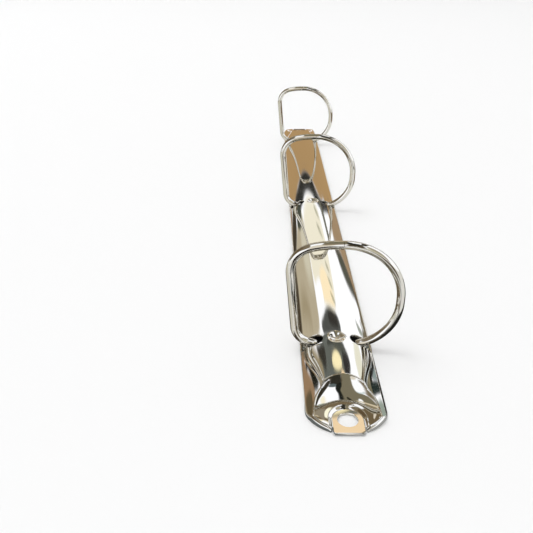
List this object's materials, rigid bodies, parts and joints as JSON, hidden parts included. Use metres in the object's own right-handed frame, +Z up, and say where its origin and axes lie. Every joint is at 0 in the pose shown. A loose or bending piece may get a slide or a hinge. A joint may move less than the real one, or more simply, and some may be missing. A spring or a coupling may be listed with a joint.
{
  "type": "ring binder mechanism",
  "caption": "Binder mechanism with D-shaped wire rings on an arched metal cover; each ring parts at the top into two halves that swing on hinge plates to take punched sheets.",
  "frame": {"origin": "midway between the two mounting holes, on the plane that the mechanism is fastened to", "axes": "+Z up from the base, +Y along the mechanism, +X towards the round side of the rings"},
  "size_m": [0.0334, 0.2858, 0.0352],
  "materials": {
    "plated_cover": "bright nickel plate",
    "plated_wire": "bright nickel plate",
    "plated_plate": "dull plate"
  },
  "bodies": {
    "cover": {"cover": "plated_cover"},
    "left_plate": {"hinge_plate_left": "plated_plate", "ring_left_front": "plated_wire", "ring_left_middle": "plated_wire", "ring_left_rear": "plated_wire"},
    "right_plate": {"hinge_plate_right": "plated_plate", "ring_right_front": "plated_wire", "ring_right_middle": "plated_wire", "ring_right_rear": "plated_wire"}
  },
  "joints": [
    {"name": "left_swing", "type": "hinge", "parent": "cover", "child": "left_plate", "pos_m": [-0.00829, 0, 0.00115], "axis": [0, -1, 0], "range_deg": [0, 14.5]},
    {"name": "right_swing", "type": "hinge", "parent": "cover", "child": "right_plate", "pos_m": [0.00829, 0, 0.00115], "axis": [0, 1, 0], "range_deg": [0, 14.5]}
  ],
  "couplings": [
    {"joint": "right_swing", "follows": "left_swing", "ratio": 1}
  ]
}
